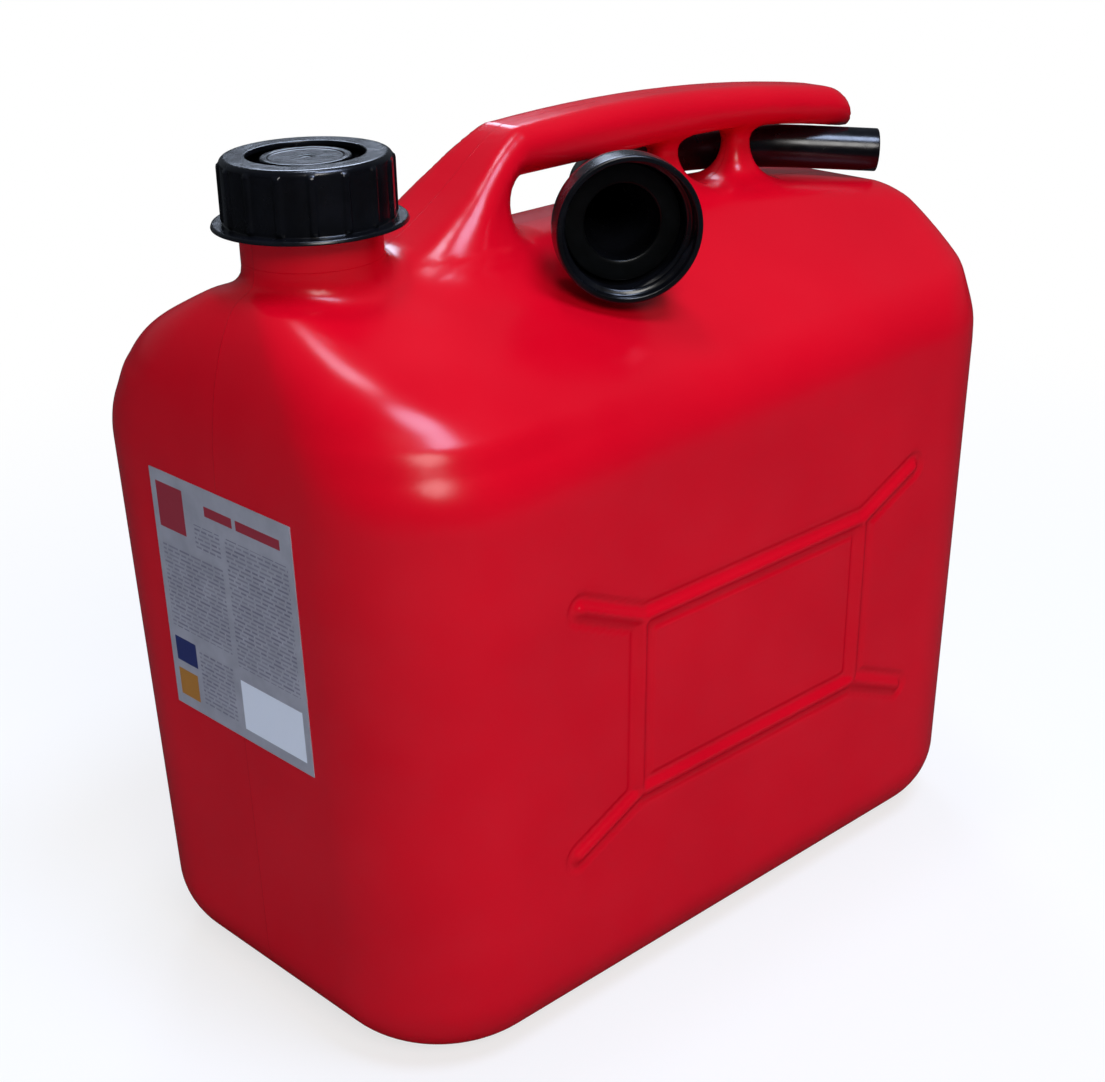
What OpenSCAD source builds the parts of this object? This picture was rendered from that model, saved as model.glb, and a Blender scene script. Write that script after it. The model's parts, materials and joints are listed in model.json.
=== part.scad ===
// Ten-litre safety gas can: a blow-moulded tank with a grip along its ridge, a press-and-turn cap,
// and a pouring spout stowed through the grip. Millimetres, +Z up, origin at the middle of the base.
// The neck is at the -X end. The two long sides face -Y and +Y.

/* [Tank] */
// Length over the two ends
tank_length = 300; // [285:1:340]
// Width over the two long sides
tank_width = 182; // [170:1:200]
// Height of the flat ridge that carries the grip
ridge_height = 252.5; // [225:0.1:280]
// Rise of the roof from the top of the side walls to the ridge
roof_rise = 58.5; // [55:0.5:62]
// Wall thickness of the blow moulding
tank_wall = 2.4; // [1.6:0.1:3.2]
// Radius of the four upright corners, seen from above
corner_radius = 44.5; // [36:0.5:50]
// Radius of the edge between base and walls
base_radius = 26; // [18:0.5:32]
// How much each end is drawn in at the base
end_draft = 3.1; // [0:0.1:6]
// How much each side is drawn in at the base
side_draft = 5.6; // [0:0.1:8]
// Radius where the side walls roll into the roof
shoulder_radius = 28; // [20:1:34]
// Half the width of the flat ridge
ridge_half_width = 13; // [11:0.5:15]
// Distance over which the front end rounds into the ridge
front_round = 28; // [22:1:36]
// Distance over which the rear end rounds into the ridge
rear_round = 9; // [7:1:16]
// Fall of the ridge from the grip to the rear end
ridge_fall = 10; // [8:0.5:12]
// Depth of the stiffening channel that runs round under the base
base_channel = 2; // [1:0.5:4]
// Width of that channel
channel_width = 20; // [16:0.5:24]

/* [Frame on the long sides] */
// Length of the raised frame between its upright bars
frame_length = 113; // [90:1:120]
// Height of the raised frame between its level bars
frame_height = 65.2; // [50:0.2:70]
// Height of the frame's middle above the base, as a part of the side wall's height
frame_place = 0.577; // [0.5:0.001:0.65]
// Distance of the frame's middle behind the middle of the tank
frame_setback = 4; // [0:0.5:10]
// Length of the four arms that run out from its corners
arm_length = 30.5; // [20:0.5:34]
// Angle of the arms above or below level
arm_angle = 24; // [15:1:35]
// Width of the raised bead
bead_width = 4.4; // [3:0.1:7]
// How far the bead stands out
bead_height = 1; // [0.6:0.1:1.6]

/* [Neck and thread] */
// Distance from the front end to the neck's axis
neck_setback = 43.6; // [40:0.2:50]
// Radius of the bore through the neck
neck_bore_radius = 17.2; // [15:0.1:18]
// Thickness of the neck's wall under the thread
neck_wall = 2.6; // [2:0.1:3]
// How far the thread stands out
thread_depth = 1.8; // [1.2:0.1:2.2]
// Rise of the thread in one turn
thread_pitch = 4.5; // [4:0.1:5]
// Number of turns of the thread
thread_turns = 1.5; // [1:0.25:1.75]
// Radius of the plain shank under the thread
shank_radius = 22.3; // [21.8:0.1:23.5]
// Height of the plain shank
shank_height = 14; // [12:0.5:18]
// Height of the threaded part above the shank
threaded_height = 12.7; // [12:0.1:16]
// Height of the flared foot between roof and shank
neck_foot = 3.5; // [2:0.1:6]

/* [Cap] */
// Free gap between pieces that turn or slide on each other
running_gap = 0.3; // [0.2:0.05:0.5]
// Thickness of the threaded inner cap
core_wall = 2.2; // [1.6:0.1:2.6]
// Thickness of the outer shell of the cap
shell_wall = 2.1; // [1.6:0.1:2.6]
// How far the grip ribs stand out
rib_height = 0.8; // [0.4:0.1:1.4]
// Number of grip ribs
rib_count = 16; // [8:1:24]
// Width of one grip rib
rib_width = 2.2; // [1.2:0.1:3]
// Travel when the cap is pressed down
press_travel = 1.6; // [1.2:0.1:2]
// Number of drive lugs
lug_count = 12; // [6:1:16]
// Height of the drive lugs on shell and core
lug_height = 1.4; // [1.1:0.1:1.6]
// Radius of the raised disc in the middle of the cap
disc_radius = 14.2; // [10:0.1:15]
// Radius of the hole in the shell round that disc
shell_hole_radius = 18.4; // [16:0.1:19]
// Thickness of the shell's top
shell_top = 1.5; // [1.2:0.1:2.5]
// How far the skirt ring stands out at the foot of the shell
skirt_reach = 3.4; // [2:0.1:5]
// Thickness of that skirt ring
skirt_thickness = 1.3; // [1:0.1:2]
// Thickness of the seal in the cap
seal_thickness = 1.5; // [1:0.1:2]

/* [Grip] */
// Clear height between the ridge and the grip bar
grip_gap = 18.5; // [18:0.1:24]
// Thickness of the grip bar at its middle
grip_thickness = 17.4; // [15:0.1:22]
// Width of the grip bar
grip_width = 27; // [22:0.5:32]
// Distance from the neck's axis to the finger side of the front root
grip_front = 70.4; // [66:0.2:80]
// Distance from the rear end to the free end of the bar
grip_end = 3; // [1:0.5:8]
// Place of the forward post, as a part of the bar's length behind its root
post_1_place = 0.448; // [0.43:0.001:0.46]
// Place of the rear post, as a part of the bar's length behind its root
post_2_place = 0.676; // [0.66:0.001:0.69]
// Length of each post along the bar
post_length = 9.5; // [8:0.5:12]
// Width of each post across the bar
post_width = 9; // [7:0.5:11]

/* [Spout] */
// Outer radius of the pouring tube
tube_radius = 8.2; // [7:0.1:8.3]
// Wall thickness of the tube
tube_wall = 1.4; // [1:0.1:2]
// Radius of the curve that the stowed tube follows
curve_radius = 86; // [77:0.5:95]
// Distance from the tank's middle line to where the curve of the tube begins
curve_start = 18.9; // [16:0.1:24]
// Clear distance between the stowed tube and the corners of the posts it goes round
post_clearance = 4.2; // [3:0.1:6]
// Length of the straight tip
tip_length = 27; // [20:1:32]
// Length of the tapered part behind the collar
cone_length = 29.5; // [26:0.5:32]
// Outer radius of the tube where the collar turns on it
cone_radius = 14.3; // [13:0.1:15]
// Length of the screw collar
collar_length = 17.5; // [16:0.5:18]
// Wall thickness of the screw collar
collar_wall = 2; // [1.6:0.1:2.2]

/* [Label] */
// Width of the data label on the front end
label_width = 76; // [60:1:80]
// Height of the data label
label_height = 86; // [60:1:90]
// Distance of the label's upper edge below the top of the wall
label_gap = 2.5; // [1:0.5:10]
// Thickness of the label
label_thickness = 0.3; // [0.2:0.1:0.6]

/* [Hidden] */

tank_red = "#d3142b";
part_black = "#1b1c1e";
seal_black = "#26282a";
label_silver = "#a9acb0";

wall_height = ridge_height - roof_rise;
half_length = tank_length / 2;
half_width = tank_width / 2;
round_facets = 96;

// ---- helpers -------------------------------------------------------------------------------

function blend(a, b, t) = a + (b - a) * t;
function clamp01(t) = min(1, max(0, t));
function smooth(t) = let (c = clamp01(t)) c * c * (3 - 2 * c);
function unit(v) = v / norm(v);

// Closed skin over a grid of points: rings of equal count, capped at both ends by a fan from the middle.
module ring_skin(rings) {
    n = len(rings[0]);
    m = len(rings);
    middle = function (ring) [for (k = [0:2]) ([for (p = ring) 1] * [for (p = ring) p[k]]) / n];
    points = concat([for (ring = rings) each ring], [middle(rings[0]), middle(rings[m - 1])]);
    last = (m - 1) * n;
    sides = [for (i = [0:m - 2]) for (j = [0:n - 1]) let (a = i * n + j, b = i * n + (j + 1) % n)
             each [[a, a + n, b], [b, a + n, b + n]]];
    caps = [for (j = [0:n - 1]) let (k = (j + 1) % n)
            each [[j, k, m * n], [last + k, last + j, m * n + 1]]];
    polyhedron(points = points, faces = concat(sides, caps), convexity = 8);
}

// ---- tank ----------------------------------------------------------------------------------

// The tank is a stack of rounded rectangles. Below the shoulder they stand level. Above it a
// height fraction h runs from 0 at the shoulder to 1 at the ridge. The shoulder climbs towards
// the rear, and a falling plane cuts the ridge there, so that its flat top widens to the rear.
roof_angle = 61;
roof_bulge = 1.02;
roll_width = shoulder_radius * (1 - cos(roof_angle));
roll_height = shoulder_radius * sin(roof_angle);
roof_run = half_width - roll_width - ridge_half_width;
shoulder_climb = 6;
fall_start = 62;
fall_blend = 5;
channel_start = 8;
channel_slope = 5;

function shoulder_z(x) = wall_height + shoulder_climb * smooth((x + half_length) / tank_length);
function ridge_z(x) = ridge_height - ridge_fall * max(0, x - fall_start) / (half_length - fall_start);
// The lower of two heights, with the crease between them rounded over a blend r.
function soft_min(a, b, r) = let (t = clamp01(0.5 + (b - a) / (2 * r))) blend(b, a, t) - r * t * (1 - t);

roof_total = ridge_height - wall_height;
// Profile of the roof from the side wall to the ridge, as [half width, height fraction].
function roof_profile(i, n) = i <= n / 2
    ? let (a = roof_angle * i / (n / 2))
      [half_width - shoulder_radius * (1 - cos(a)), shoulder_radius * sin(a) / roof_total]
    : let (t = (i - n / 2) / (n / 2))
      [half_width - roll_width - roof_run * t,
       blend(roll_height / roof_total, 1, 1 - pow(1 - t, roof_bulge))];

// How much the roof swells out near the front end, at about half its height.
front_fullness = 9;
function fullness(x, h) = smooth((-x - 20) / 80) * smooth((h - 0.25) / 0.5) * (1 - h) * 2;

// Upright corners of the roof, as a part of its half width, and the least that any corner may have.
roof_corner = 0.56;
ridge_edge = 0.6;
least_corner = 2;

// One point of a ring: turn gives the place round the ring, sizes are the half extents.
function ring_xy(front, rear, side, radius, arc_steps, end_steps, side_steps) = let (
    corners = [[rear - radius, side - radius, 0], [-front + radius, side - radius, 90],
               [-front + radius, -side + radius, 180], [rear - radius, -side + radius, 270]])
    [for (k = [0:3]) let (c = corners[k], d = corners[(k + 1) % 4],
        steps = k % 2 == 0 ? side_steps : end_steps)
        each concat(
            [for (i = [0:arc_steps]) let (a = c[2] + 90 * i / arc_steps)
                [c[0] + radius * cos(a), c[1] + radius * sin(a)]],
            [for (i = [1:steps - 1]) let (a = c[2] + 90,
                p = [c[0] + radius * cos(a), c[1] + radius * sin(a)],
                q = [d[0] + radius * cos(a), d[1] + radius * sin(a)])
                p + (q - p) * i / steps])];

// Rings from the base up. inset is the wall thickness that the inner skin stands back by.
function tank_rings(inset, arc_steps, end_steps, side_steps, base_steps, roof_steps) = let (
    rb = base_radius - inset,
    r0 = corner_radius - inset,
    draft = function (z, amount) amount * (1 - clamp01((z - base_radius) / (wall_height - base_radius))),
    wall_ring = function (z, shrink) let (end = half_length - draft(z, end_draft) - inset - shrink)
        ring_xy(end, end, half_width - draft(z, side_draft) - inset - shrink,
                max(least_corner, r0 - shrink), arc_steps, end_steps, side_steps),
    lift = function (ring, z) [for (p = ring) [p[0], p[1], z]],
    base = concat(
        [for (g = [[channel_width, 0], [channel_width - channel_slope, base_channel],
                   [channel_slope, base_channel], [0, 0]])
            lift(wall_ring(0, rb + channel_start + g[0]), inset + g[1])],
        [for (i = [0:base_steps]) let (a = 90 * i / base_steps)
            lift(wall_ring(0, rb * (1 - sin(a))), inset + rb * (1 - cos(a)))]),
    wall = [for (i = [1:2]) let (z = blend(base_radius, wall_height, i / 3)) lift(wall_ring(z, 0), z)],
    roof = [for (i = [0:roof_steps]) let (
        p = roof_profile(i, roof_steps),
        h = p[1],
        dip = sqrt(max(0, 1 - h * h)),
        side = p[0],
        corner = min(corner_radius, max(side * roof_corner, ridge_half_width - ridge_edge)),
        ring = ring_xy(half_length - front_round * (1 - dip), half_length - rear_round * (1 - dip),
                       side, corner, arc_steps, end_steps, side_steps))
        [for (q = ring) let (
            slope_z = shoulder_z(q[0]) + h * (ridge_height + fall_blend / 4 - shoulder_z(q[0])),
            full = 1 + front_fullness / max(side, 20) * fullness(q[0], h))
            [q[0], q[1] * full, soft_min(slope_z, ridge_z(q[0]), fall_blend)]]],
    inner_roof = inset == 0 ? roof : offset_rings(roof, inset))
    concat(base, wall, inner_roof);

// Moves each point of a set of rings inwards by d along the skin's own normal.
function offset_rings(rings, d) = let (m = len(rings), n = len(rings[0]))
    [for (i = [0:m - 1]) [for (j = [0:n - 1]) let (
        up = rings[min(m - 1, i + 1)][j] - rings[max(0, i - 1)][j],
        along = rings[i][(j + 1) % n] - rings[i][(j + n - 1) % n],
        c = cross(along, up))
        rings[i][j] - d * (i == m - 1 ? [0, 0, 1] : unit(c))]];

module tank_outer() {
    ring_skin(tank_rings(0, 8, 4, 10, 6, 14));
}

module tank_inner() {
    ring_skin(tank_rings(tank_wall, 6, 3, 8, 4, 10));
}

neck_x = neck_setback - half_length;
neck_base = ridge_height + neck_foot;
neck_top = neck_base + shank_height + threaded_height;
bore_reach = 30;

// Flared foot of the neck, standing in the roof.
module neck_flare() {
    flare = 6;
    flare_height = 10;
    depth = 20;
    translate([neck_x, 0, neck_base - depth])
        rotate_extrude($fn = 64)
            polygon(concat(
                [[0, 0], [shank_radius + flare, 0]],
                [for (i = [0:6]) let (a = 90 * i / 6)
                    [shank_radius + flare * (1 - sin(a)), depth - flare_height * cos(a)]],
                [[0, depth]]));
}

// The raised frame on one long side: four bars and four arms of one bead, lying in the wall's own slope.
module side_frame() {
    bead_sink = 0.6;
    lean = atan(side_draft / (wall_height - base_radius));
    translate([0, -half_width, wall_height]) rotate([90 + lean, 0, 0])
        translate([frame_setback, (frame_place - 1) * wall_height / cos(lean), -bead_sink])
            linear_extrude(bead_sink + bead_height) {
                difference() {
                    square([frame_length + bead_width, frame_height + bead_width], center = true);
                    square([frame_length - bead_width, frame_height - bead_width], center = true);
                }
                for (sx = [-1, 1], sz = [-1, 1])
                    translate([sx * frame_length / 2, sz * frame_height / 2]) rotate(sx * sz * arm_angle) {
                        translate([min(0, sx * arm_length), -bead_width / 2])
                            square([arm_length, bead_width]);
                        translate([sx * arm_length, 0]) circle(d = bead_width, $fn = 16);
                    }
            }
}

module tank_shell() {
    color(tank_red)
    difference() {
        union() {
            tank_outer();
            neck_flare();
            side_frame();
            mirror([0, 1, 0]) side_frame();
        }
        tank_inner();
        grip_cavity();
        translate([neck_x, 0, neck_base - bore_reach])
            cylinder(r = neck_bore_radius, h = bore_reach + neck_foot + 10, $fn = 64);
    }
}

// ---- grip ----------------------------------------------------------------------------------

root_x = neck_x + grip_front + 10;
bar_end = half_length - grip_end;
post_1_x = blend(root_x, bar_end, post_1_place);
post_2_x = blend(root_x, bar_end, post_2_place);
under_z = ridge_height + grip_gap;

// Middle of the curve that the stowed tube follows, seen from above. It goes round both posts and
// clears their corners, and it crosses the tank's middle line at pass_x and again at rear_x.
curve_shift = 1.174;
curve_x = (post_1_x + post_2_x) / 2 + curve_shift;
curve_reach = curve_x - post_1_x + post_length / 2;
curve_y = post_width / 2 - sqrt(pow(curve_radius - tube_radius - post_clearance, 2) - pow(curve_reach, 2));
pass_x = curve_x - sqrt(pow(curve_radius, 2) - pow(curve_y, 2));
rear_x = 2 * curve_x - pass_x;

// The bar's upper and under sides both droop towards the free end, the under side no further than
// leaves room for the tube at rear_x.
bar_crown_place = 0.237;
bar_drop_place = 0.48;
bar_crown_x = blend(root_x, bar_end, bar_crown_place);
bar_drop_x = blend(root_x, bar_end, bar_drop_place);
top_drop = 12.2;
most_drop = 10.1;
rear_drop = 6.55;
under_drop = min(most_drop, rear_drop * pow((bar_end - bar_drop_x) / (rear_x - bar_drop_x), 2));

function bar_top(x) = under_z + grip_thickness
    - top_drop * pow((x - bar_crown_x) / (bar_end - bar_crown_x), 2);
function bar_under(x) = under_z - under_drop * pow(max(0, x - bar_drop_x) / (bar_end - bar_drop_x), 2);

// A level rounded rectangle of half sizes hx and hy, as points for a ring.
function soft_rect(hx, hy, r, steps) = [for (k = [0:3]) let (
    cx = (k == 0 || k == 3 ? 1 : -1) * (hx - r), cy = (k < 2 ? 1 : -1) * (hy - r))
    for (i = [0:steps]) let (a = 90 * k + 90 * i / steps) [cx + r * cos(a), cy + r * sin(a)]];

// Section of the bar across the line from its finger side i to its upper side o, both [x, z].
function bar_ring(i, o, half_y, inset, steps) = let (
    mid = (i + o) / 2, up = unit(o - i), half_t = norm(o - i) / 2 - inset,
    r = min(7.5 - inset * 0.8, half_t - 0.5, half_y - inset - 0.5))
    [for (p = soft_rect(half_y - inset, half_t, r, steps))
        [mid[0] + up[0] * p[1], p[0], mid[1] + up[1] * p[1]]];

// The bar rises from the ridge as two quarter ellipses, one outside and one on the finger side,
// runs back over the posts and ends free in a rounded tail.
root_reach = 44;
root_power = 1.15;
root_rise = bar_top(root_x) - ridge_height + 2.5;
finger_rise = bar_under(root_x) - ridge_height;
root_foot = 14;
tail_round = 15;
tail_fall = 9;
root_spread = 4;
foot_lean = 2;
foot_spread = 4;

function bar_rings(inset, steps) = let (
    half_y = grip_width / 2,
    outer = function (a) [root_x - root_reach * pow(cos(a), root_power),
        bar_top(root_x) - root_rise * (1 - pow(sin(a), root_power))],
    inner = function (a) [root_x - 10 * cos(a), under_z - finger_rise * (1 - sin(a))],
    foot = [bar_ring(inner(0) - [0, root_foot], outer(0) - [foot_lean, root_foot],
                     half_y + root_spread + foot_spread, inset, steps)],
    root = [for (i = [0:8]) let (a = 90 * i / 8)
        bar_ring(inner(a), outer(a), half_y + root_spread * pow(1 - sin(a), 2), inset, steps)],
    run_end = bar_end - tail_round,
    run = [for (i = [1:7]) let (x = blend(root_x, run_end, i / 7))
        bar_ring([x, bar_under(x)], [x, bar_top(x)], half_y, inset, steps)],
    tail = [for (i = [1:6]) let (a = 90 * i / 6, x = run_end + (tail_round - inset) * sin(a),
        s = 0.45 + 0.55 * pow(cos(a), 0.6),
        top = bar_top(x) - tail_fall * (1 - pow(cos(a), 0.8)),
        under = bar_under(x) + 2.5 * (1 - pow(cos(a), 0.5)))
        bar_ring([x, under], [x, top], half_y * s, inset, steps)])
    concat(foot, root, run, tail);

module grip_cavity() {
    ring_skin(bar_rings(tank_wall, 2));
}

// A post between ridge and bar, flared at both ends.
module post(x) {
    flare = 4;
    low = ridge_z(x) - 6;
    foot = ridge_z(x);
    head = bar_under(x);
    levels = concat([[low, flare + 1]],
        [for (i = [0:4]) let (a = 90 * i / 4) [foot + flare * sin(a) * 0.9 - 0.2, flare * (1 - sin(a))]],
        [for (i = [4:-1:0]) let (a = 90 * i / 4) [head - flare * sin(a) * 0.9 + 0.2, flare * (1 - sin(a))]],
        [[head + 4, flare]]);
    translate([x, 0, 0])
        ring_skin([for (l = levels) let (hx = post_length / 2 + l[1], hy = post_width / 2 + l[1])
            [for (p = soft_rect(hx, hy, 4 + l[1] / 2, 3)) [p[0], p[1], l[0]]]]);
}

module grip_handle() {
    color(tank_red)
    difference() {
        union() {
            ring_skin(bar_rings(0, 4));
            post(post_1_x);
            post(post_2_x);
        }
        tank_outer();
        grip_cavity();
    }
}

// ---- neck ----------------------------------------------------------------------------------

thread_root = neck_bore_radius + neck_wall;
thread_crest = thread_root + thread_depth;
thread_base_width = 2.5;
thread_crest_width = 1;
thread_sink = 0.25;

// A screw ridge that stands out from the root radius (side = 1) or in from it (side = -1).
module screw_ridge(root, side, turns) {
    steps = round(turns * 36);
    tall = thread_depth;
    rings = [for (i = [0:steps]) let (
        a = 360 * turns * i / steps,
        grow = smooth(min(i, steps - i) / 3),
        base = root - side * thread_sink,
        crest = root + side * (tall * grow - thread_sink * (1 - grow) * 0.5),
        z = thread_pitch * a / 360,
        wb = thread_base_width / 2, wc = blend(wb * 0.8, thread_crest_width / 2, grow),
        profile = [[base, -wb], [crest, -wc], [crest, wc], [base, wb]])
        [for (p = side < 0 ? profile : [profile[3], profile[2], profile[1], profile[0]])
            [p[0] * cos(a), p[0] * sin(a), z + p[1]]]];
    ring_skin(rings);
}

thread_low = 4;

module neck() {
    color(tank_red)
    translate([neck_x, 0, neck_base]) {
        rotate_extrude($fn = round_facets)
            polygon([[neck_bore_radius, 0], [shank_radius, 0], [shank_radius, shank_height - 1],
                [shank_radius - 1, shank_height], [thread_root, shank_height],
                [thread_root, shank_height + threaded_height - 0.8],
                [thread_root - 0.8, shank_height + threaded_height],
                [neck_bore_radius, shank_height + threaded_height]]);
        translate([0, 0, shank_height + thread_low])
            screw_ridge(thread_root, 1, thread_turns);
    }
}

// ---- cap -----------------------------------------------------------------------------------

core_inner = thread_crest + running_gap + 0.1;
core_outer = core_inner + core_wall;
shell_inner = core_outer + running_gap;
shell_outer = shell_inner + shell_wall;
core_top_thickness = 2;
drive_gap = press_travel + lug_height + 0.2;
core_bottom = neck_base + shank_height + 0.8;
core_top = neck_top + seal_thickness + core_top_thickness;
shell_underside = core_top + drive_gap;
cap_top = shell_underside + shell_top;
lip_height = 1;
shell_bottom = core_bottom - running_gap - lip_height;
lip_radius = core_outer - 0.8;

module at_neck() {
    translate([neck_x, 0, 0]) children();
}

module cap_seal() {
    color(seal_black)
    at_neck() translate([0, 0, neck_top])
        cylinder(r = core_inner - 0.5, h = seal_thickness, $fn = round_facets);
}

// One ring of drive lugs, each a radial block. lug_sink is how deep they are rooted in what carries them.
lug_sink = 0.3;
module drive_lugs(height) {
    inner_r = shell_hole_radius + 0.9;
    for (i = [0:lug_count - 1])
        rotate(360 * i / lug_count)
            translate([inner_r, -1.5, 0])
                cube([core_outer - 1.2 - inner_r, 3, height]);
}

module cap_core() {
    color(part_black)
    at_neck() {
        rotate_extrude($fn = round_facets)
            polygon([[0, neck_top + seal_thickness], [core_inner, neck_top + seal_thickness],
                [core_inner, core_bottom], [core_outer, core_bottom], [core_outer, core_top],
                [disc_radius, core_top], [disc_radius, cap_top - 1.4],
                [disc_radius - 0.6, cap_top - 0.8], [0, cap_top - 0.8]]);
        translate([0, 0, core_top - lug_sink]) drive_lugs(lug_sink + lug_height);
        translate([0, 0, neck_base + shank_height + thread_low - thread_pitch / 2])
            screw_ridge(core_inner, -1, thread_turns);
    }
}

module cap_shell() {
    skirt_r = shell_outer + rib_height + skirt_reach;
    color(part_black)
    at_neck() {
        rotate_extrude($fn = round_facets)
            polygon([[lip_radius, shell_bottom], [skirt_r, shell_bottom],
                [skirt_r - 0.9, shell_bottom + skirt_thickness], [shell_outer, shell_bottom + skirt_thickness],
                [shell_outer, cap_top - 1.2], [shell_outer - 1.2, cap_top],
                [shell_hole_radius, cap_top], [shell_hole_radius, shell_underside],
                [shell_inner, shell_underside], [shell_inner, shell_bottom + lip_height],
                [lip_radius, shell_bottom + lip_height]]);
        for (i = [0:rib_count - 1])
            rotate(360 * (i + 0.5) / rib_count)
                translate([shell_outer - 0.3, -rib_width / 2, shell_bottom + skirt_thickness - 0.2])
                    cube([rib_height + 0.3, rib_width, cap_top - shell_bottom - skirt_thickness - 1.6]);
        translate([0, 0, shell_underside - lug_height])
            rotate(180 / lug_count) drive_lugs(lug_height + lug_sink);
    }
}

// ---- spout ---------------------------------------------------------------------------------

// The stowed tube follows one arc in a slightly tilted plane. Headings are seen from above,
// counted from +X, at the collar end and at the tip.
heading_end = -43;
tilt_end = 3.1;
tilt_most = 2.64;
pass_drop = 0.45;
collar_rest = 1;

collar_inner = thread_crest + running_gap + 0.1;
collar_outer = collar_inner + collar_wall;

heading_start = acos((-curve_y - curve_start) / curve_radius);

// The tube passes the tank's middle line in the front gap, half way up it, and its plane tips down
// towards the collar as far as the gap allows, or less where the collar would meet the roof.
pass_z = under_z - grip_gap / 2 - pass_drop;
rest_x = curve_x - curve_radius * sin(heading_start) - cone_length * cos(heading_start);
rest_y = curve_start + cone_length * sin(heading_start);
rest_roof = ridge_height - (rest_y - ridge_half_width) * (roof_rise - roll_height) / roof_run;
tilt_side = min(tilt_most, atan((pass_z + tan(tilt_end) * (pass_x - rest_x)
    - rest_roof - collar_outer - collar_rest) / rest_y));
curve_z = pass_z - tan(tilt_end) * (curve_x - pass_x) + tan(tilt_side) * curve_y;

module spout_frame() {
    translate([curve_x, curve_y, curve_z]) rotate([tilt_side, tilt_end, 0]) children();
}

// Local +Z runs from the start of the arc towards the mouth of the collar.
module mouth_frame() {
    spout_frame()
        rotate(90 + heading_start) translate([curve_radius, 0, 0])
            rotate(90) rotate([0, 90, 0]) children();
}

bore_end = tube_radius - tube_wall;
plate_thickness = 2.5;
flange_thickness = 1.9;
washer_thickness = 1.4;
flange_low = cone_length + plate_thickness + running_gap;
flange_top = flange_low + flange_thickness;
flange_radius = thread_root - 0.6;
mouth_bore = cone_radius - 1.7;
collar_taper = 2.2;
taper_length = 7.5;
back_reach = 2;
back_rise = 1.6;

function cone_outer(t) = blend(tube_radius, cone_radius, pow(t, 1.6));
function cone_bore(t) = blend(bore_end, mouth_bore, pow(t, 1.6));

// The cone laps the end of the bent tube by a little, with a small step inside and out.
joint_lap = 0.6;
joint_step = 0.12;

module spout_tube() {
    n = 8;
    color(part_black) {
        mouth_frame()
            rotate_extrude($fn = 64)
                polygon(concat(
                    [[cone_outer(0) + joint_step, -joint_lap]],
                    [for (i = [0:n]) [cone_outer(i / n) + joint_step * (1 - i / n), cone_length * i / n]],
                    [[cone_radius, flange_low], [flange_radius, flange_low],
                     [flange_radius, flange_top], [mouth_bore, flange_top], [mouth_bore, cone_length]],
                    [for (i = [n - 1:-1:0]) [cone_bore(i / n) - joint_step * (1 - i / n), cone_length * i / n]],
                    [[cone_bore(0) - joint_step, -joint_lap]]));
        spout_frame() {
            rotate(90 + heading_end)
                rotate_extrude(angle = heading_start - heading_end, $fn = round_facets)
                    translate([curve_radius, 0]) difference() {
                        circle(r = tube_radius, $fn = 48);
                        circle(r = bore_end, $fn = 48);
                    }
            rotate(90 + heading_end) translate([curve_radius, 0, 0])
                rotate(-90) rotate([0, 90, 0]) difference() {
                    cylinder(r = tube_radius, h = tip_length, $fn = 48);
                    translate([0, 0, -1]) cylinder(r = bore_end, h = tip_length + 2, $fn = 48);
                }
        }
    }
}

module spout_washer() {
    color(seal_black)
    mouth_frame() translate([0, 0, flange_top]) difference() {
        cylinder(r = flange_radius, h = washer_thickness, $fn = 64);
        translate([0, 0, -1]) cylinder(r = mouth_bore, h = washer_thickness + 2, $fn = 64);
    }
}

module spout_collar() {
    low = cone_length;
    high = cone_length + collar_length;
    color(part_black)
    mouth_frame() {
        rotate_extrude($fn = round_facets)
            polygon([[cone_radius + running_gap, low], [collar_outer - collar_taper - back_reach, low],
                [collar_outer - collar_taper, low + back_rise], [collar_outer, low + taper_length],
                [collar_outer, high], [collar_inner, high], [collar_inner, low + taper_length],
                [collar_inner - collar_taper, low + plate_thickness],
                [cone_radius + running_gap, low + plate_thickness]]);
        translate([0, 0, high - 1.8 - thread_pitch * 1.5])
            screw_ridge(collar_inner, -1, 1.25);
    }
}

// ---- label ---------------------------------------------------------------------------------

module data_label() {
    lean = atan(end_draft / (wall_height - base_radius));
    color(label_silver)
    translate([-half_length, 0, wall_height]) rotate([0, -lean, 0])
        translate([-label_thickness, -label_width / 2, -label_gap - label_height])
            cube([label_thickness, label_width, label_height]);
}

// ---- main ----------------------------------------------------------------------------------

tank_shell();
grip_handle();
neck();
data_label();
cap_seal();
cap_core();
cap_shell();
spout_tube();
spout_washer();
spout_collar();
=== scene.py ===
import json
import math
import bpy
import numpy as np
from mathutils import Matrix, Vector


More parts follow.
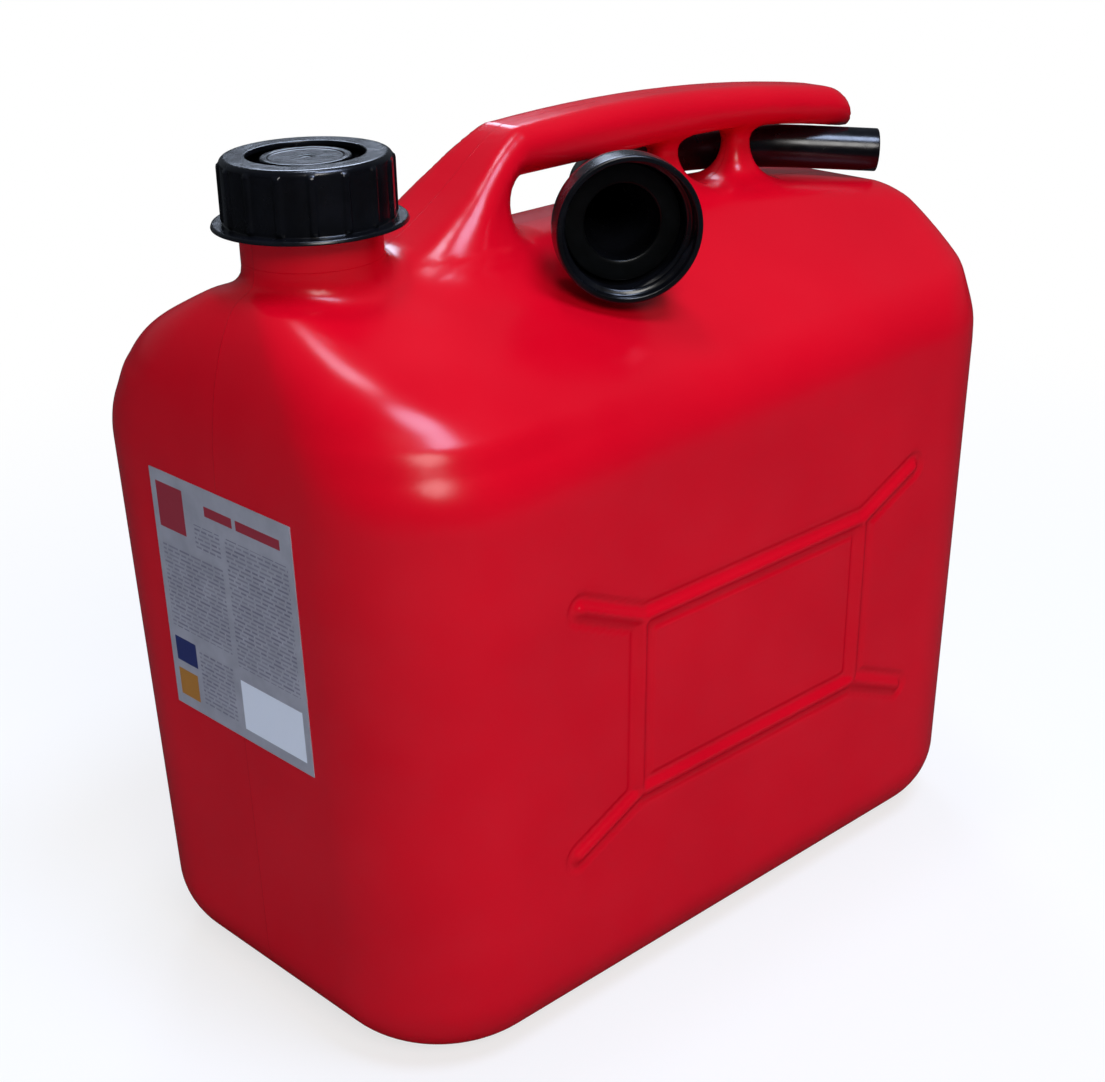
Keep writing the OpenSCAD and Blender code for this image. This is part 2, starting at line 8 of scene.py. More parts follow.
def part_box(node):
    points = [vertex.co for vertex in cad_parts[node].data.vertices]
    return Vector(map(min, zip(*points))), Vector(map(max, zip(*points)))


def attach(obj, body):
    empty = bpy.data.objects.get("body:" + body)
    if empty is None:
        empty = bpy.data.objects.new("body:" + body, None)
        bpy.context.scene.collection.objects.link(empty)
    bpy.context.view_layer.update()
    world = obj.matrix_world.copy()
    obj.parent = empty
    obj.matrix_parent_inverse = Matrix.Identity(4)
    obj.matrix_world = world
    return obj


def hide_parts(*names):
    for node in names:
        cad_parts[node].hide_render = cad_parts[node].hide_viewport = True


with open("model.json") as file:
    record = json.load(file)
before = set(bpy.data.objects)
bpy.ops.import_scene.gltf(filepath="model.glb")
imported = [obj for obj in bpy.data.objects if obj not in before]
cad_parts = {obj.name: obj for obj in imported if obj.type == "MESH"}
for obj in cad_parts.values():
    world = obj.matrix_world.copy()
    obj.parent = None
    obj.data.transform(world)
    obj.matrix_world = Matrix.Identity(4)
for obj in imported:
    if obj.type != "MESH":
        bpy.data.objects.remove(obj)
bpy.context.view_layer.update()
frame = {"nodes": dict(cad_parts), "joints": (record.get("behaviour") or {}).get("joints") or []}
mm = 0.001  # shapes are worked out in millimetres and stored in metres


def inMillimetres(metres):  # rounded to a hundredth
    return np.round(np.array(metres) / mm, 2)


joints = {joint["name"]: joint for joint in frame["joints"]}
tankLow, tankHigh = inMillimetres(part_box("tank_shell"))
capLow, capHigh = inMillimetres(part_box("cap_shell"))
neckX, _, neckTop = inMillimetres(joints["cap_turn"]["pos_m"])

tank = {
    "length": tankHigh[0] - tankLow[0], "width": tankHigh[1] - tankLow[1],
    "wallHeight": 194, "ridgeHeight": 252.5, "profilePoints": 33,
    "cornerRadius": 44.5, "baseRadius": 26, "endDraft": 3.1, "sideDraft": 5.6,
    "shoulderRadius": 28, "roofAngle": 61, "roofBulge": 1.02, "shoulderClimb": 6,
    "ridgeHalfWidth": 13, "ridgeInset": 0.6, "frontRound": 21, "rearRound": 5,
    # corner radius as a share of the half width, at the front and at the rear; one turns into the other
    # over this length on each side of the middle
    "frontCorner": 0.56, "rearCorner": 0.2, "cornerEase": 60, "cornerBlend": 5,
    "ridgeFall": 10, "fallStart": 62, "crownExtra": 1.25, "ridgeBlend": 4.5,
    # the roof swells towards the front: from here forward, over this run, above this share of its height
    "frontFullness": 28, "fullFrom": 20, "fullRun": 80, "fullLow": 0.25, "fullRise": 0.5, "leastSide": 20,
    "channelDepth": 2, "channelStart": 34, "channelEnd": 56, "channelEase": 5, "channelTop": 20,
}

grip = {
    "gap": 18.5, "thickness": 17.4, "width": 27, "edgeRadius": 8, "topBow": 0.0007, "crownX": 15,
    "underDrop": 0.00125, "dropX": 57, "endX": 149.5,
    "rootX": -26, "rootReach": 44, "rootPower": 1.65, "rootFoot": 14, "rootLift": 2.5, "fingerReach": 10,
    "rootSpread": 6, "spreadLead": 4, "spreadRun": 34, "rootBlend": 17,
    "rootFlare": 8, "flareLead": 2, "flareRun": 24,
    "tailRound": 15, "tailFall": 10, "tailFallPower": 0.8, "tailRise": 1, "tailRisePower": 0.5,
    "tailTaper": 0.15, "taperRun": 20, "taperPower": 2.6,
    "postX": (51.5, 91), "postLength": 9.5, "postWidth": 9, "postCorner": 3.5, "postReach": 16,
    "postBlend": 7, "bendPoints": 13, "runPoints": 14,
}

neck = {
    "x": neckX, "shankRadius": 22.35, "footTop": 266, "footBlend": 6, "cutMargin": 14,
    "boreRadius": 17.2, "boreFloor": 190,
}

frameBead = {
    "centreX": 4, "centreZ": 112, "halfX": 56.5, "halfZ": 32.6, "cornerRadius": 3,
    "armLength": 30.5, "armAngle": 24, "ridge": 1.3, "moat": 0.75, "pitch": 4.2, "reach": 7.6,
    "waveEnd": 1.9, "sideStart": 60, "sideEase": 12, "sideTop": 190,  # the bead is only on the two long sides
}

# grid on which the tank's skin is found: coarse all round, fine along the frame and its arms
skinGrid = {
    "halfLength": 156, "halfWidth": 101, "low": -4.3, "high": 294, "cell": 2.4, "fineCell": 1.5, "slices": 73,
    "fineHalfLength": 94, "fineHalfHeight": 58, "upperParts": 205,
}


def smoothStep(t):  # an S-shaped step from 0 to 1, level at both ends
    t = np.clip(t, 0, 1)
    return t * t * (3 - 2 * t)


def softMin(a, b, r):  # the smaller of two fields, joined by a fillet of about r
    t = np.clip(0.5 + (b - a) / (2 * r), 0, 1)
    return b + (a - b) * t - r * t * (1 - t)


def softMax(a, b, r):  # the larger of two fields, with the crease between them rounded over r
    return -softMin(-a, -b, r)


def cornerDistance(u, v):  # distance outside a square corner whose two sides are u and v away
    return np.hypot(np.maximum(u, 0), np.maximum(v, 0)) + np.minimum(np.maximum(u, v), 0)


def roundedEdge(a, b, r):  # both fields at once, meeting in an edge of radius r
    return cornerDistance(a + r, b + r) - r


def roofTable():
    # half width of the roof against height fraction: an arc off the side wall, then a near straight slope
    t = tank
    total = t["ridgeHeight"] - t["wallHeight"]
    a = np.radians(np.linspace(0, t["roofAngle"], t["profilePoints"]))
    arcSide = t["width"] / 2 - t["shoulderRadius"] * (1 - np.cos(a))
    arcH = t["shoulderRadius"] * np.sin(a) / total
    s = np.linspace(0, 1, t["profilePoints"])[1:]
    slopeSide = arcSide[-1] + (t["ridgeHalfWidth"] - arcSide[-1]) * s
    slopeH = arcH[-1] + (1 - arcH[-1]) * (1 - (1 - s) ** t["roofBulge"])
    return np.concatenate([arcH, slopeH]), np.concatenate([arcSide, slopeSide])


roofH, roofSide = roofTable()


def ridgeZ(x):
    # level to where the fall starts, then straight down to the rear end
    t = tank
    fallen = np.maximum(0, x - t["fallStart"]) / (t["length"] / 2 - t["fallStart"])
    return t["ridgeHeight"] - t["ridgeFall"] * fallen


def footprint(x, y, z):
    # distance outside the rounded rectangle of this height, whose half extents and corner radius follow the
    # draft below the shoulder and the roof's profile above it
    t = tank
    shoulder = t["wallHeight"] + t["shoulderClimb"] * smoothStep((x + t["length"] / 2) / t["length"])
    crown = t["ridgeHeight"] + t["crownExtra"]
    rise = np.maximum((z - shoulder) / (crown - shoulder), 0)
    h = np.minimum(rise, 1)
    drawn = 1 - np.clip((z - t["baseRadius"]) / (t["wallHeight"] - t["baseRadius"]), 0, 1)
    dip = np.sqrt(np.maximum(0, 1 - h * h))
    crownSlope = (roofSide[-1] - roofSide[-2]) / (roofH[-1] - roofH[-2])
    side = np.interp(h, roofH, roofSide) + (rise - h) * crownSlope
    rearward = smoothStep((x + t["cornerEase"]) / (2 * t["cornerEase"])) * smoothStep(h)
    share = t["frontCorner"] + (t["rearCorner"] - t["frontCorner"]) * rearward
    corner = softMin(t["cornerRadius"], side * share, t["cornerBlend"])
    corner = np.maximum(corner, t["ridgeHalfWidth"] - t["ridgeInset"])
    end = t["length"] / 2 - t["endDraft"] * drawn
    front, rear = end - t["frontRound"] * (1 - dip), end - t["rearRound"] * (1 - dip)
    forward = smoothStep((-x - t["fullFrom"]) / t["fullRun"])
    above = smoothStep((h - t["fullLow"]) / t["fullRise"]) * (1 - h)
    full = 1 + t["frontFullness"] / np.maximum(side, t["leastSide"]) * forward * above
    side = side - t["sideDraft"] * drawn
    u = np.abs(x - (rear - front) / 2) - ((rear + front) / 2 - corner)
    v = np.abs(y / full) - (side - corner)
    return cornerDistance(u, v) - corner


def beadHeight(x, z):
    # a bead between two shallow moats along a rounded frame and four diagonal arms: a cosine of the
    # distance to the nearest centreline, just short of a full wave, faded out at its reach
    b = frameBead
    u, v = np.abs(x - b["centreX"]), np.abs(z - b["centreZ"])
    p, q = u - (b["halfX"] - b["cornerRadius"]), v - (b["halfZ"] - b["cornerRadius"])
    loop = np.abs(cornerDistance(p, q) - b["cornerRadius"])
    a = math.radians(b["armAngle"])
    du, dv = u - b["halfX"], v - b["halfZ"]
    along = np.clip(du * math.cos(a) + dv * math.sin(a), 0, b["armLength"])
    arm = np.hypot(du - along * math.cos(a), dv - along * math.sin(a))
    d = np.minimum(loop, arm)
    wave = np.cos(np.pi * np.minimum(d / b["pitch"], b["waveEnd"]))
    height = np.where(wave > 0, b["ridge"], b["moat"]) * wave
    return height * (1 - smoothStep((d - b["pitch"]) / (b["reach"] - b["pitch"])))


def bodyField(x, y, z, step=0.6):
    # footprint distance made a true distance by its slope, then cut by the ridge plane and the rounded base;
    # a shallow channel runs round under the base, between two distances in from the edge
    t = tank
    b = frameBead
    d = footprint(x, y, z)
    slope = (footprint(x, y, z + step) - footprint(x, y, z - step)) / (2 * step)
    d = d / np.sqrt(1 + slope * slope)
    into = smoothStep((-d - t["channelStart"]) / t["channelEase"])
    out = smoothStep((t["channelEnd"] + d) / t["channelEase"])
    base = roundedEdge(d, -z + into * out * t["channelDepth"] * (z < t["channelTop"]), t["baseRadius"])
    longSide = smoothStep((np.abs(y) - b["sideStart"]) / b["sideEase"]) * (z < b["sideTop"])
    base = base - beadHeight(x, z) * longSide
    return softMax(base, z - ridgeZ(x), t["ridgeBlend"])


def barTop(x):  # a parabola, highest over the crown of the grip
    g = grip
    return tank["ridgeHeight"] + g["gap"] + g["thickness"] - g["topBow"] * (x - g["crownX"]) ** 2


def barUnder(x):  # level, then a parabola that falls to the rear
    g = grip
    return tank["ridgeHeight"] + g["gap"] - g["underDrop"] * np.maximum(0, x - g["dropX"]) ** 2


def barOutline():
    # side outline of the grip: quarter curves at the front root, a shallow bow to the rear, a drooping tail
    g = grip
    a = np.radians(np.linspace(0, 90, g["bendPoints"]))
    ridge, root = tank["ridgeHeight"], g["rootX"]
    rise = barTop(root) - ridge + g["rootLift"]
    outer = np.stack([root - g["rootReach"] * np.cos(a) ** g["rootPower"],
                      barTop(root) - rise * (1 - np.sin(a) ** g["rootPower"])], 1)
    run = np.linspace(root, g["endX"] - g["tailRound"], g["runPoints"])[1:]
    top = np.stack([run, barTop(run)], 1)
    tailX = g["endX"] - g["tailRound"] + g["tailRound"] * np.sin(a[1:])
    fall = g["tailFall"] * (1 - np.cos(a[1:]) ** g["tailFallPower"])
    lift = g["tailRise"] * (1 - np.cos(a[1:]) ** g["tailRisePower"])
    tailTop = np.stack([tailX, barTop(tailX) - fall], 1)
    tailUnder = np.stack([tailX, barUnder(tailX) + lift], 1)
    under = np.stack([run, barUnder(run)], 1)
    finger = np.stack([root - g["fingerReach"] * np.cos(a),
                       barUnder(root) - (barUnder(root) - ridge) * (1 - np.sin(a))], 1)
    foot = np.array([[finger[0, 0], ridge - g["rootFoot"]], [outer[0, 0], ridge - g["rootFoot"]]])
    return np.concatenate([outer, top, tailTop, tailUnder[::-1], under[::-1], finger[::-1], foot])


outline = barOutline()


def insideOutline(x, z, points):
    # signed distance to a closed outline: nearest segment, negative where a ray crosses an odd number of them
    best = np.full(x.shape, 1e9)
    odd = np.zeros(x.shape, bool)
    for (ax, az), (bx, bz) in zip(points, np.roll(points, -1, axis=0)):
        ex, ez = bx - ax, bz - az
        s = np.clip(((x - ax) * ex + (z - az) * ez) / (ex * ex + ez * ez + 1e-12), 0, 1)
        best = np.minimum(best, (x - ax - s * ex) ** 2 + (z - az - s * ez) ** 2)
        if abs(ez) > 1e-9:
            odd ^= ((az > z) != (bz > z)) & (x < ex * (z - az) / ez + ax)
    return np.sqrt(best) * np.where(odd, -1, 1)


def gripField(x, y, z):
    # the side outline carried across the width with rounded edges, wider at the root and narrower at the
    # tail, with two rounded posts down to the ridge
    g = grip
    wider = g["rootSpread"] * smoothStep((g["rootX"] + g["spreadLead"] - x) / g["spreadRun"])
    taper = np.clip((x - (g["endX"] - g["taperRun"])) / g["taperRun"], 0, 1)
    half = g["width"] / 2 * (1 - g["tailTaper"] * taper ** g["taperPower"]) + wider
    bar = roundedEdge(insideOutline(x, z, outline), np.abs(y) - half, g["edgeRadius"])
    for px in g["postX"]:
        u = np.abs(x - px) - (g["postLength"] / 2 - g["postCorner"])
        v = np.abs(y) - (g["postWidth"] / 2 - g["postCorner"])
        post = cornerDistance(u, v) - g["postCorner"]
        middle = (ridgeZ(px) + barUnder(px)) / 2
        post = np.maximum(post, np.abs(z - middle) - g["postReach"])
        bar = softMin(bar, post, g["postBlend"])
    return bar


def tankField(x, y, z):
    # body, neck's foot and grip run into each other with fillets; the foot is cut level, and the neck's bore
    # goes down into the body as a round well
    n = neck
    g = grip
    field = bodyField(x, y, z)
    upper = z > skinGrid["upperParts"]
    if upper.any():
        xs, ys, zs, f = x[upper], y[upper], z[upper], field[upper]
        radius = np.hypot(xs - n["x"], ys)
        foot = np.maximum(radius - n["shankRadius"], zs - n["footTop"])
        f = softMin(f, foot, n["footBlend"])
        flare = smoothStep((g["rootX"] - g["flareLead"] - xs) / g["flareRun"])
        f = softMin(f, gripField(xs, ys, zs), g["rootBlend"] + g["rootFlare"] * flare)
        cut = np.where(radius > n["shankRadius"] + n["cutMargin"], -np.inf, zs - n["footTop"])
        field[upper] = np.maximum(f, cut)
    bore = np.maximum(np.hypot(x - n["x"], y) - n["boreRadius"], n["boreFloor"] - z)
    return np.maximum(field, -bore)


def gridLines(low, high, fineLow, fineHigh):
    # even steps of about one cell, with a stretch of fine ones between
    def run(a, b, step):  # even steps, the nearest to the wanted one that fits
        return np.linspace(a, b, max(2, int(round((b - a) / step)) + 1))
    coarse, fine = skinGrid["cell"], skinGrid["fineCell"]
    return np.concatenate([run(low, fineLow, coarse)[:-1], run(fineLow, fineHigh, fine)[:-1],
                           run(fineHigh, high, coarse)])


def surfaceNet(field, lines):
    # closed skin where the field changes sign: one point in each mixed cell, at the mean of its edge
    # crossings, and one four-sided face for each grid edge that crosses
    gx, gy, gz = lines
    values = field(*np.meshgrid(gx, gy, gz, indexing="ij"))
    inside = values < 0
    shape = tuple(n - 1 for n in values.shape)
    nx, ny, nz = shape
    corners = [(i, j, k) for i in (0, 1) for j in (0, 1) for k in (0, 1)]
    count = sum(inside[i:i + nx, j:j + ny, k:k + nz].astype(np.int8) for i, j, k in corners)
    cells = np.array(np.nonzero((count > 0) & (count < 8)))
    index = np.full(shape, -1, np.int64)
    index[tuple(cells)] = np.arange(len(cells[0]))
    total = np.zeros((len(cells[0]), 3))
    hits = np.zeros(len(cells[0]))
    for a in corners:
        for axis in range(3):
            if a[axis]:
                continue
            b = tuple(v + (n == axis) for n, v in enumerate(a))
            va, vb = [values[tuple(cells + np.array(c)[:, None])] for c in (a, b)]
            cross = (va < 0) != (vb < 0)
            t = np.where(cross, va / np.where(cross, va - vb, 1), 0)
            ends = [[g[cells[n] + c[n]] for n, g in enumerate(lines)] for c in (a, b)]
            point = np.stack([ends[0][n] + t * (ends[1][n] - ends[0][n]) for n in range(3)], 1)
            total += point * cross[:, None]
            hits += cross
    points = total / hits[:, None]
    faces = []
    for axis in range(3):
        o1, o2 = [n for n in range(3) if n != axis]
        e = np.array(np.nonzero(np.diff(inside, axis=axis)))
        keep = (e[o1] > 0) & (e[o2] > 0) & (e[o1] < shape[o1]) & (e[o2] < shape[o2])
        e = e[:, keep]
        ring = []
        for d1, d2 in ((0, 0), (1, 0), (1, 1), (0, 1)):
            c = e.copy()
            c[o1] -= 1 - d1
            c[o2] -= 1 - d2
            ring.append(index[tuple(c)])
        quad = np.stack(ring, 1)
        flip = inside[tuple(e)] != (axis != 1)
        quad[flip] = quad[flip][:, ::-1]
        faces.append(quad)
    return points, np.concatenate(faces)


def gradient(field, p, reach=0.35):
    # central differences along each axis
    g = np.empty_like(p)
    for axis in range(3):
        step = np.zeros(3)
        step[axis] = reach
        g[:, axis] = (field(*(p + step).T) - field(*(p - step).T)) / (2 * reach)
    return g


def settle(field, points, rounds=3, flattest=0.05, furthest=1.5):
    # Newton steps along the gradient, each held short, bring the points on to the surface
    for _ in range(rounds):
        g = gradient(field, points)
        step = field(*points.T) / np.maximum((g * g).sum(1), flattest)
        points = points - np.clip(step, -furthest, furthest)[:, None] * g
    return points


def makeMesh(name, points, faces, smooth=True, normals=None):
    # faces is one array of equal faces or a list of them; a closed skin whose volume comes out negative is
    # turned the right way out
    groups = faces if isinstance(faces, list) else [faces]
    points = np.asarray(points, float)
    volume = 0
    for group in groups:
        first = points[group[:, 0]]
        for k in range(1, group.shape[1] - 1):
            volume += (first * np.cross(points[group[:, k]], points[group[:, k + 1]])).sum()
    if volume < 0:
        groups = [group[:, ::-1] for group in groups]
    sizes = np.concatenate([np.full(len(group), group.shape[1]) for group in groups])
    mesh = bpy.data.meshes.new(name)
    mesh.vertices.add(len(points))
    mesh.vertices.foreach_set("co", (points * mm).astype(np.float32).ravel())
    mesh.loops.add(int(sizes.sum()))
    order = np.concatenate([group.ravel() for group in groups])
    mesh.loops.foreach_set("vertex_index", order.astype(np.int32))
    mesh.polygons.add(len(sizes))
    mesh.polygons.foreach_set("loop_start", (np.cumsum(sizes) - sizes).astype(np.int32))
    mesh.update(calc_edges=True)
    mesh.polygons.foreach_set("use_smooth", np.full(len(sizes), smooth))
    mesh.validate()
    if normals is not None:
        mesh.normals_split_custom_set_from_vertices(normals.tolist())
    piece = bpy.data.objects.new(name, mesh)
    bpy.context.collection.objects.link(piece)
    return piece


def makeTank():
    # the zero surface of tankField, with its normals taken from the field itself
    s = skinGrid
    x, z = frameBead["centreX"], frameBead["centreZ"]
    lines = (
        gridLines(-s["halfLength"], s["halfLength"], x - s["fineHalfLength"], x + s["fineHalfLength"]),
        np.linspace(-s["halfWidth"], s["halfWidth"], s["slices"]),
        gridLines(s["low"], s["high"], z - s["fineHalfHeight"], z + s["fineHalfHeight"]),
    )
    points, faces = surfaceNet(tankField, lines)
    points = settle(tankField, points)
    normals = gradient(tankField, points)
    normals /= np.maximum(np.linalg.norm(normals, axis=1), 1e-9)[:, None]
    piece = makeMesh("tankMoulding", points, faces, normals=normals)
    print("tank skin", len(points), "points", len(faces), "faces")
    return piece


tankPiece = makeTank()


def softCorners(rows, closed=True, steps=5, share=0.45):
    # a row is a corner and its rounding: the corner becomes a short curve between points set back along both
    # of its edges by the rounding, or by less on a short edge
    rows = np.array(rows, float)
    p, r = rows[:, :2], rows[:, 2:]

    def setBack(edge):  # the corner moved along this edge
        length = np.linalg.norm(edge, axis=1)[:, None]
        return p + edge / length * np.minimum(r, length * share)

    a, b = setBack(np.roll(p, 1, axis=0) - p), setBack(np.roll(p, -1, axis=0) - p)
    t = np.linspace(0, 1, steps)[None, :, None]
    curve = (1 - t) ** 2 * a[:, None] + 2 * t * (1 - t) * p[:, None] + t * t * b[:, None]
    if not closed:
        curve[0], curve[-1] = p[0], p[-1]
    flat = curve.reshape(-1, 2)
    keep = np.linalg.norm(flat - np.roll(flat, 1, axis=0), axis=1) > 1e-6
    keep[0] = keep[0] or not closed
    return flat[keep]


def fillProfile(points, step, closed=True):
    # extra points along the long edges, for a thread or a rib to move
    p = np.array(points)
    following = np.roll(p, -1, axis=0) if closed else p[1:]
    start = p[:len(following)]
    counts = np.maximum(1, np.ceil(np.linalg.norm(following - start, axis=1) / step)).astype(int)
    way = np.repeat(following - start, counts, axis=0)
    order = np.arange(counts.sum()) - np.repeat(np.cumsum(counts) - counts, counts)
    filled = np.repeat(start, counts, axis=0) + way * (order / np.repeat(counts, counts))[:, None]
    return filled if closed else np.concatenate([filled, p[-1:]])


def ringFaces(rows, columns, closed):
    # faces between neighbouring rings, and from the last ring to the first if closed
    here = np.arange(rows * columns).reshape(rows, columns)
    ring = [here, np.roll(here, -1, 1), np.roll(here, (-1, -1), (0, 1)), np.roll(here, -1, 0)]
    return np.stack(ring, -1)[:rows if closed else rows - 1].reshape(-1, 4)


def turned(profile, angles, change=None, closed=True):
    # every profile point (r, z) carried round the axis; change(r, z, angle) may move r and z
    r, angle = np.meshgrid(profile[:, 0], angles, indexing="ij")
    z = np.repeat(profile[:, 1:2], len(angles), axis=1)
    if change:
        r, z = change(r, z, angle)
    points = np.stack([r * np.cos(angle), r * np.sin(angle), z], -1)
    if closed:
        return points.reshape(-1, 3), ringFaces(len(profile), len(angles), True)
    # an open profile starts and ends on the axis: its two end rings are single points
    n = len(angles)
    ring = points[1:-1].reshape(-1, 3)
    faces = ringFaces(len(profile) - 2, n, False)
    low, high = len(ring), len(ring) + 1
    j = np.arange(n)
    k, top = (j + 1) % n, (len(profile) - 3) * n
    caps = np.concatenate([np.stack([k, j, np.full(n, low)], 1),
                           np.stack([top + j, top + k, np.full(n, high)], 1)])
    return np.concatenate([ring, points[0, :1], points[-1, :1]]), [faces, caps]


def turn(degrees, axis):  # a turn about one axis, as a matrix
    return np.array(Matrix.Rotation(math.radians(degrees), 4, axis))


def shift(x, y, z):  # a move, as a matrix
    return np.array(Matrix.Translation((x, y, z)))


def place(points, matrix):  # the points turned and moved by the matrix
    return points @ matrix[:3, :3].T + matrix[:3, 3]


def turnedPiece(name, corners, step, angles, change, matrix, closed=True):
    # the profile with its corners rounded and its edges filled with points, turned, and put in its place
    profile = fillProfile(softCorners(corners, closed), step, closed)
    points, faces = turned(profile, angles, change, closed)
    return makeMesh(name, place(points, matrix), faces)


thread = {
    "pitch": 4.5, "depth": 1.8, "baseWidth": 2.5, "crestWidth": 1.0, "turns": 1.5, "start": 274,
    "runOut": 0.5,  # in radians, at each end
}


def threadRise(z, angle, start, turns):
    # height of a screw ridge of trapezium section: full between the crest edges, nothing outside the base
    # edges, and fading out at each end
    t = thread
    rise = np.zeros(z.shape)
    for lap in range(math.ceil(turns)):
        along = (angle % (2 * math.pi)) + 2 * math.pi * lap
        away = np.abs(z - start - t["pitch"] * along / (2 * math.pi))
        section = np.clip((t["baseWidth"] / 2 - away) / ((t["baseWidth"] - t["crestWidth"]) / 2), 0, 1)
        left = 2 * math.pi * turns - along
        rise = np.maximum(rise, section * smoothStep(np.minimum(along, left) / t["runOut"]) * (left > 0))
    return rise * t["depth"]


# the columns of neck, washer and collar, and where the neck and the cap stand
roundAngles = np.linspace(0, 2 * math.pi, 160, endpoint=False)
neckFrame = shift(neckX, 0, 0)

neckRing = {
    "low": 259, "shoulderZ": 270, "top": neckTop, "radius": 22.38, "threadRadius": 19.8,
    "shoulderRound": 1, "threadFoot": 0.6, "lip": 0.8, "step": 0.3, "skin": 0.3,
}


def makeNeck():
    # a closed profile turned round the axis, its upper outside pushed out into the thread
    n = neckRing
    bore, outer, inner, shoulder = neck["boreRadius"], n["radius"], n["threadRadius"], n["shoulderZ"]
    corners = [
        (bore, n["low"], 0), (outer, n["low"], 0), (outer, shoulder, n["shoulderRound"]),
        (inner, shoulder, n["threadFoot"]), (inner, n["top"], n["lip"]), (bore, n["top"], n["lip"]),
    ]

    def screw(r, z, angle):  # out by the thread's height above the shoulder
        outside = (r > inner - n["skin"]) & (z > shoulder + n["threadFoot"])
        return r + threadRise(z, angle, thread["start"], thread["turns"]) * outside, z

    return turnedPiece("neckThread", corners, n["step"], roundAngles, screw, neckFrame)


capOuter = {
    "inner": 24.5, "outer": 26.6, "hole": 18.4, "lip": 23.4, "lipDepth": 1, "skirt": 30.8, "skirtLean": 0.5,
    "bottom": capLow[2], "skirtTop": 270.8, "underside": 289.4, "top": capHigh[2], "chamfer": 1.2,
    "fineRound": 0.2, "edgeRound": 0.45, "footRound": 0.5, "crownRound": 0.8, "step": 0.8,
    "ribs": 16, "ribHeight": 0.8, "ribWidth": 2.2, "ribFoot": 0.2, "ribFootRun": 0.5,
    "ribHead": 1.3, "ribHeadRun": 1.0, "skin": 0.5, "skinRun": 0.3,
    # in degrees: half of a rib's flank, the mesh points on it, and those on the wall between two ribs
    "flank": 0.8, "flankPoints": (-1.1, -0.4, 0.4, 1.1), "wallPoints": (5, 7, 9.5),
}


def makeCapShell():
    # a closed profile turned round the axis, its outer wall pushed out into ribs
    c = capOuter
    outer, low, foot, top = c["outer"], c["bottom"], c["skirtTop"], c["top"]
    fine, edge, crown = c["fineRound"], c["edgeRound"], c["crownRound"]
    corners = [
        (c["lip"], low, fine), (c["skirt"], low, edge), (c["skirt"] - c["skirtLean"], foot, edge),
        (outer, foot, c["footRound"]), (outer, top - c["chamfer"], crown), (outer - c["chamfer"], top, crown),
        (c["hole"], top, edge), (c["hole"], c["underside"], fine), (c["inner"], c["underside"], fine),
        (c["inner"], low + c["lipDepth"], fine), (c["lip"], low + c["lipDepth"], fine),
    ]
    half = math.degrees(c["ribWidth"] / 2 / outer)
    side = np.concatenate([half + np.array(c["flankPoints"]), c["wallPoints"]])
    local = np.concatenate([-side[::-1], [0], side])
    pitch = 360 / c["ribs"]
    angles = np.radians(((np.arange(c["ribs"])[:, None] + 0.5) * pitch + local[None, :]).ravel())

    def ribs(r, z, angle):
        # a rib is a smooth step up and down across its width, faded out at its top and foot
        away = np.abs((np.degrees(angle) % pitch) - pitch / 2)
        rise = 1 - smoothStep((away - half + c["flank"]) / (2 * c["flank"]))
        reach = smoothStep((z - foot - c["ribFoot"]) / c["ribFootRun"]) \
            * smoothStep((top - c["ribHead"] - z) / c["ribHeadRun"])
        wall = smoothStep((r - outer + c["skin"]) / c["skinRun"])
        return r + c["ribHeight"] * rise * reach * wall, z

    return turnedPiece("capShell", corners, c["step"], angles, ribs, neckFrame)


capInner = {
    "inner": 22.0, "outer": 24.2, "bottom": 270.8, "under": 284.2, "top": 286.2,
    "disc": 14.2, "discTop": 290.1, "discRim": 2.2, "rimSlope": 0.6, "dish": 0.35,
    "gate": 1.6, "gateSlope": 0.5,
    "fineRound": 0.3, "wallRound": 0.4, "edgeRound": 0.5, "discRound": 0.7, "step": 0.35,
    "skin": 0.15, "threadFoot": 0.2, "threadHead": 0.1, "topSkin": 0.1,
    "flatPoints": 5, "lugs": 12, "lugHeight": 1.4, "lugWidth": 3.0, "lugAt": 21.5, "lugFrom": 19.1,
    "lugTo": 23.2, "lugEase": 0.4,
    "lugFoot": 0.02, "lugCrest": 0.005,  # how far a lug's flank reaches out and in from its edge, in radians
}


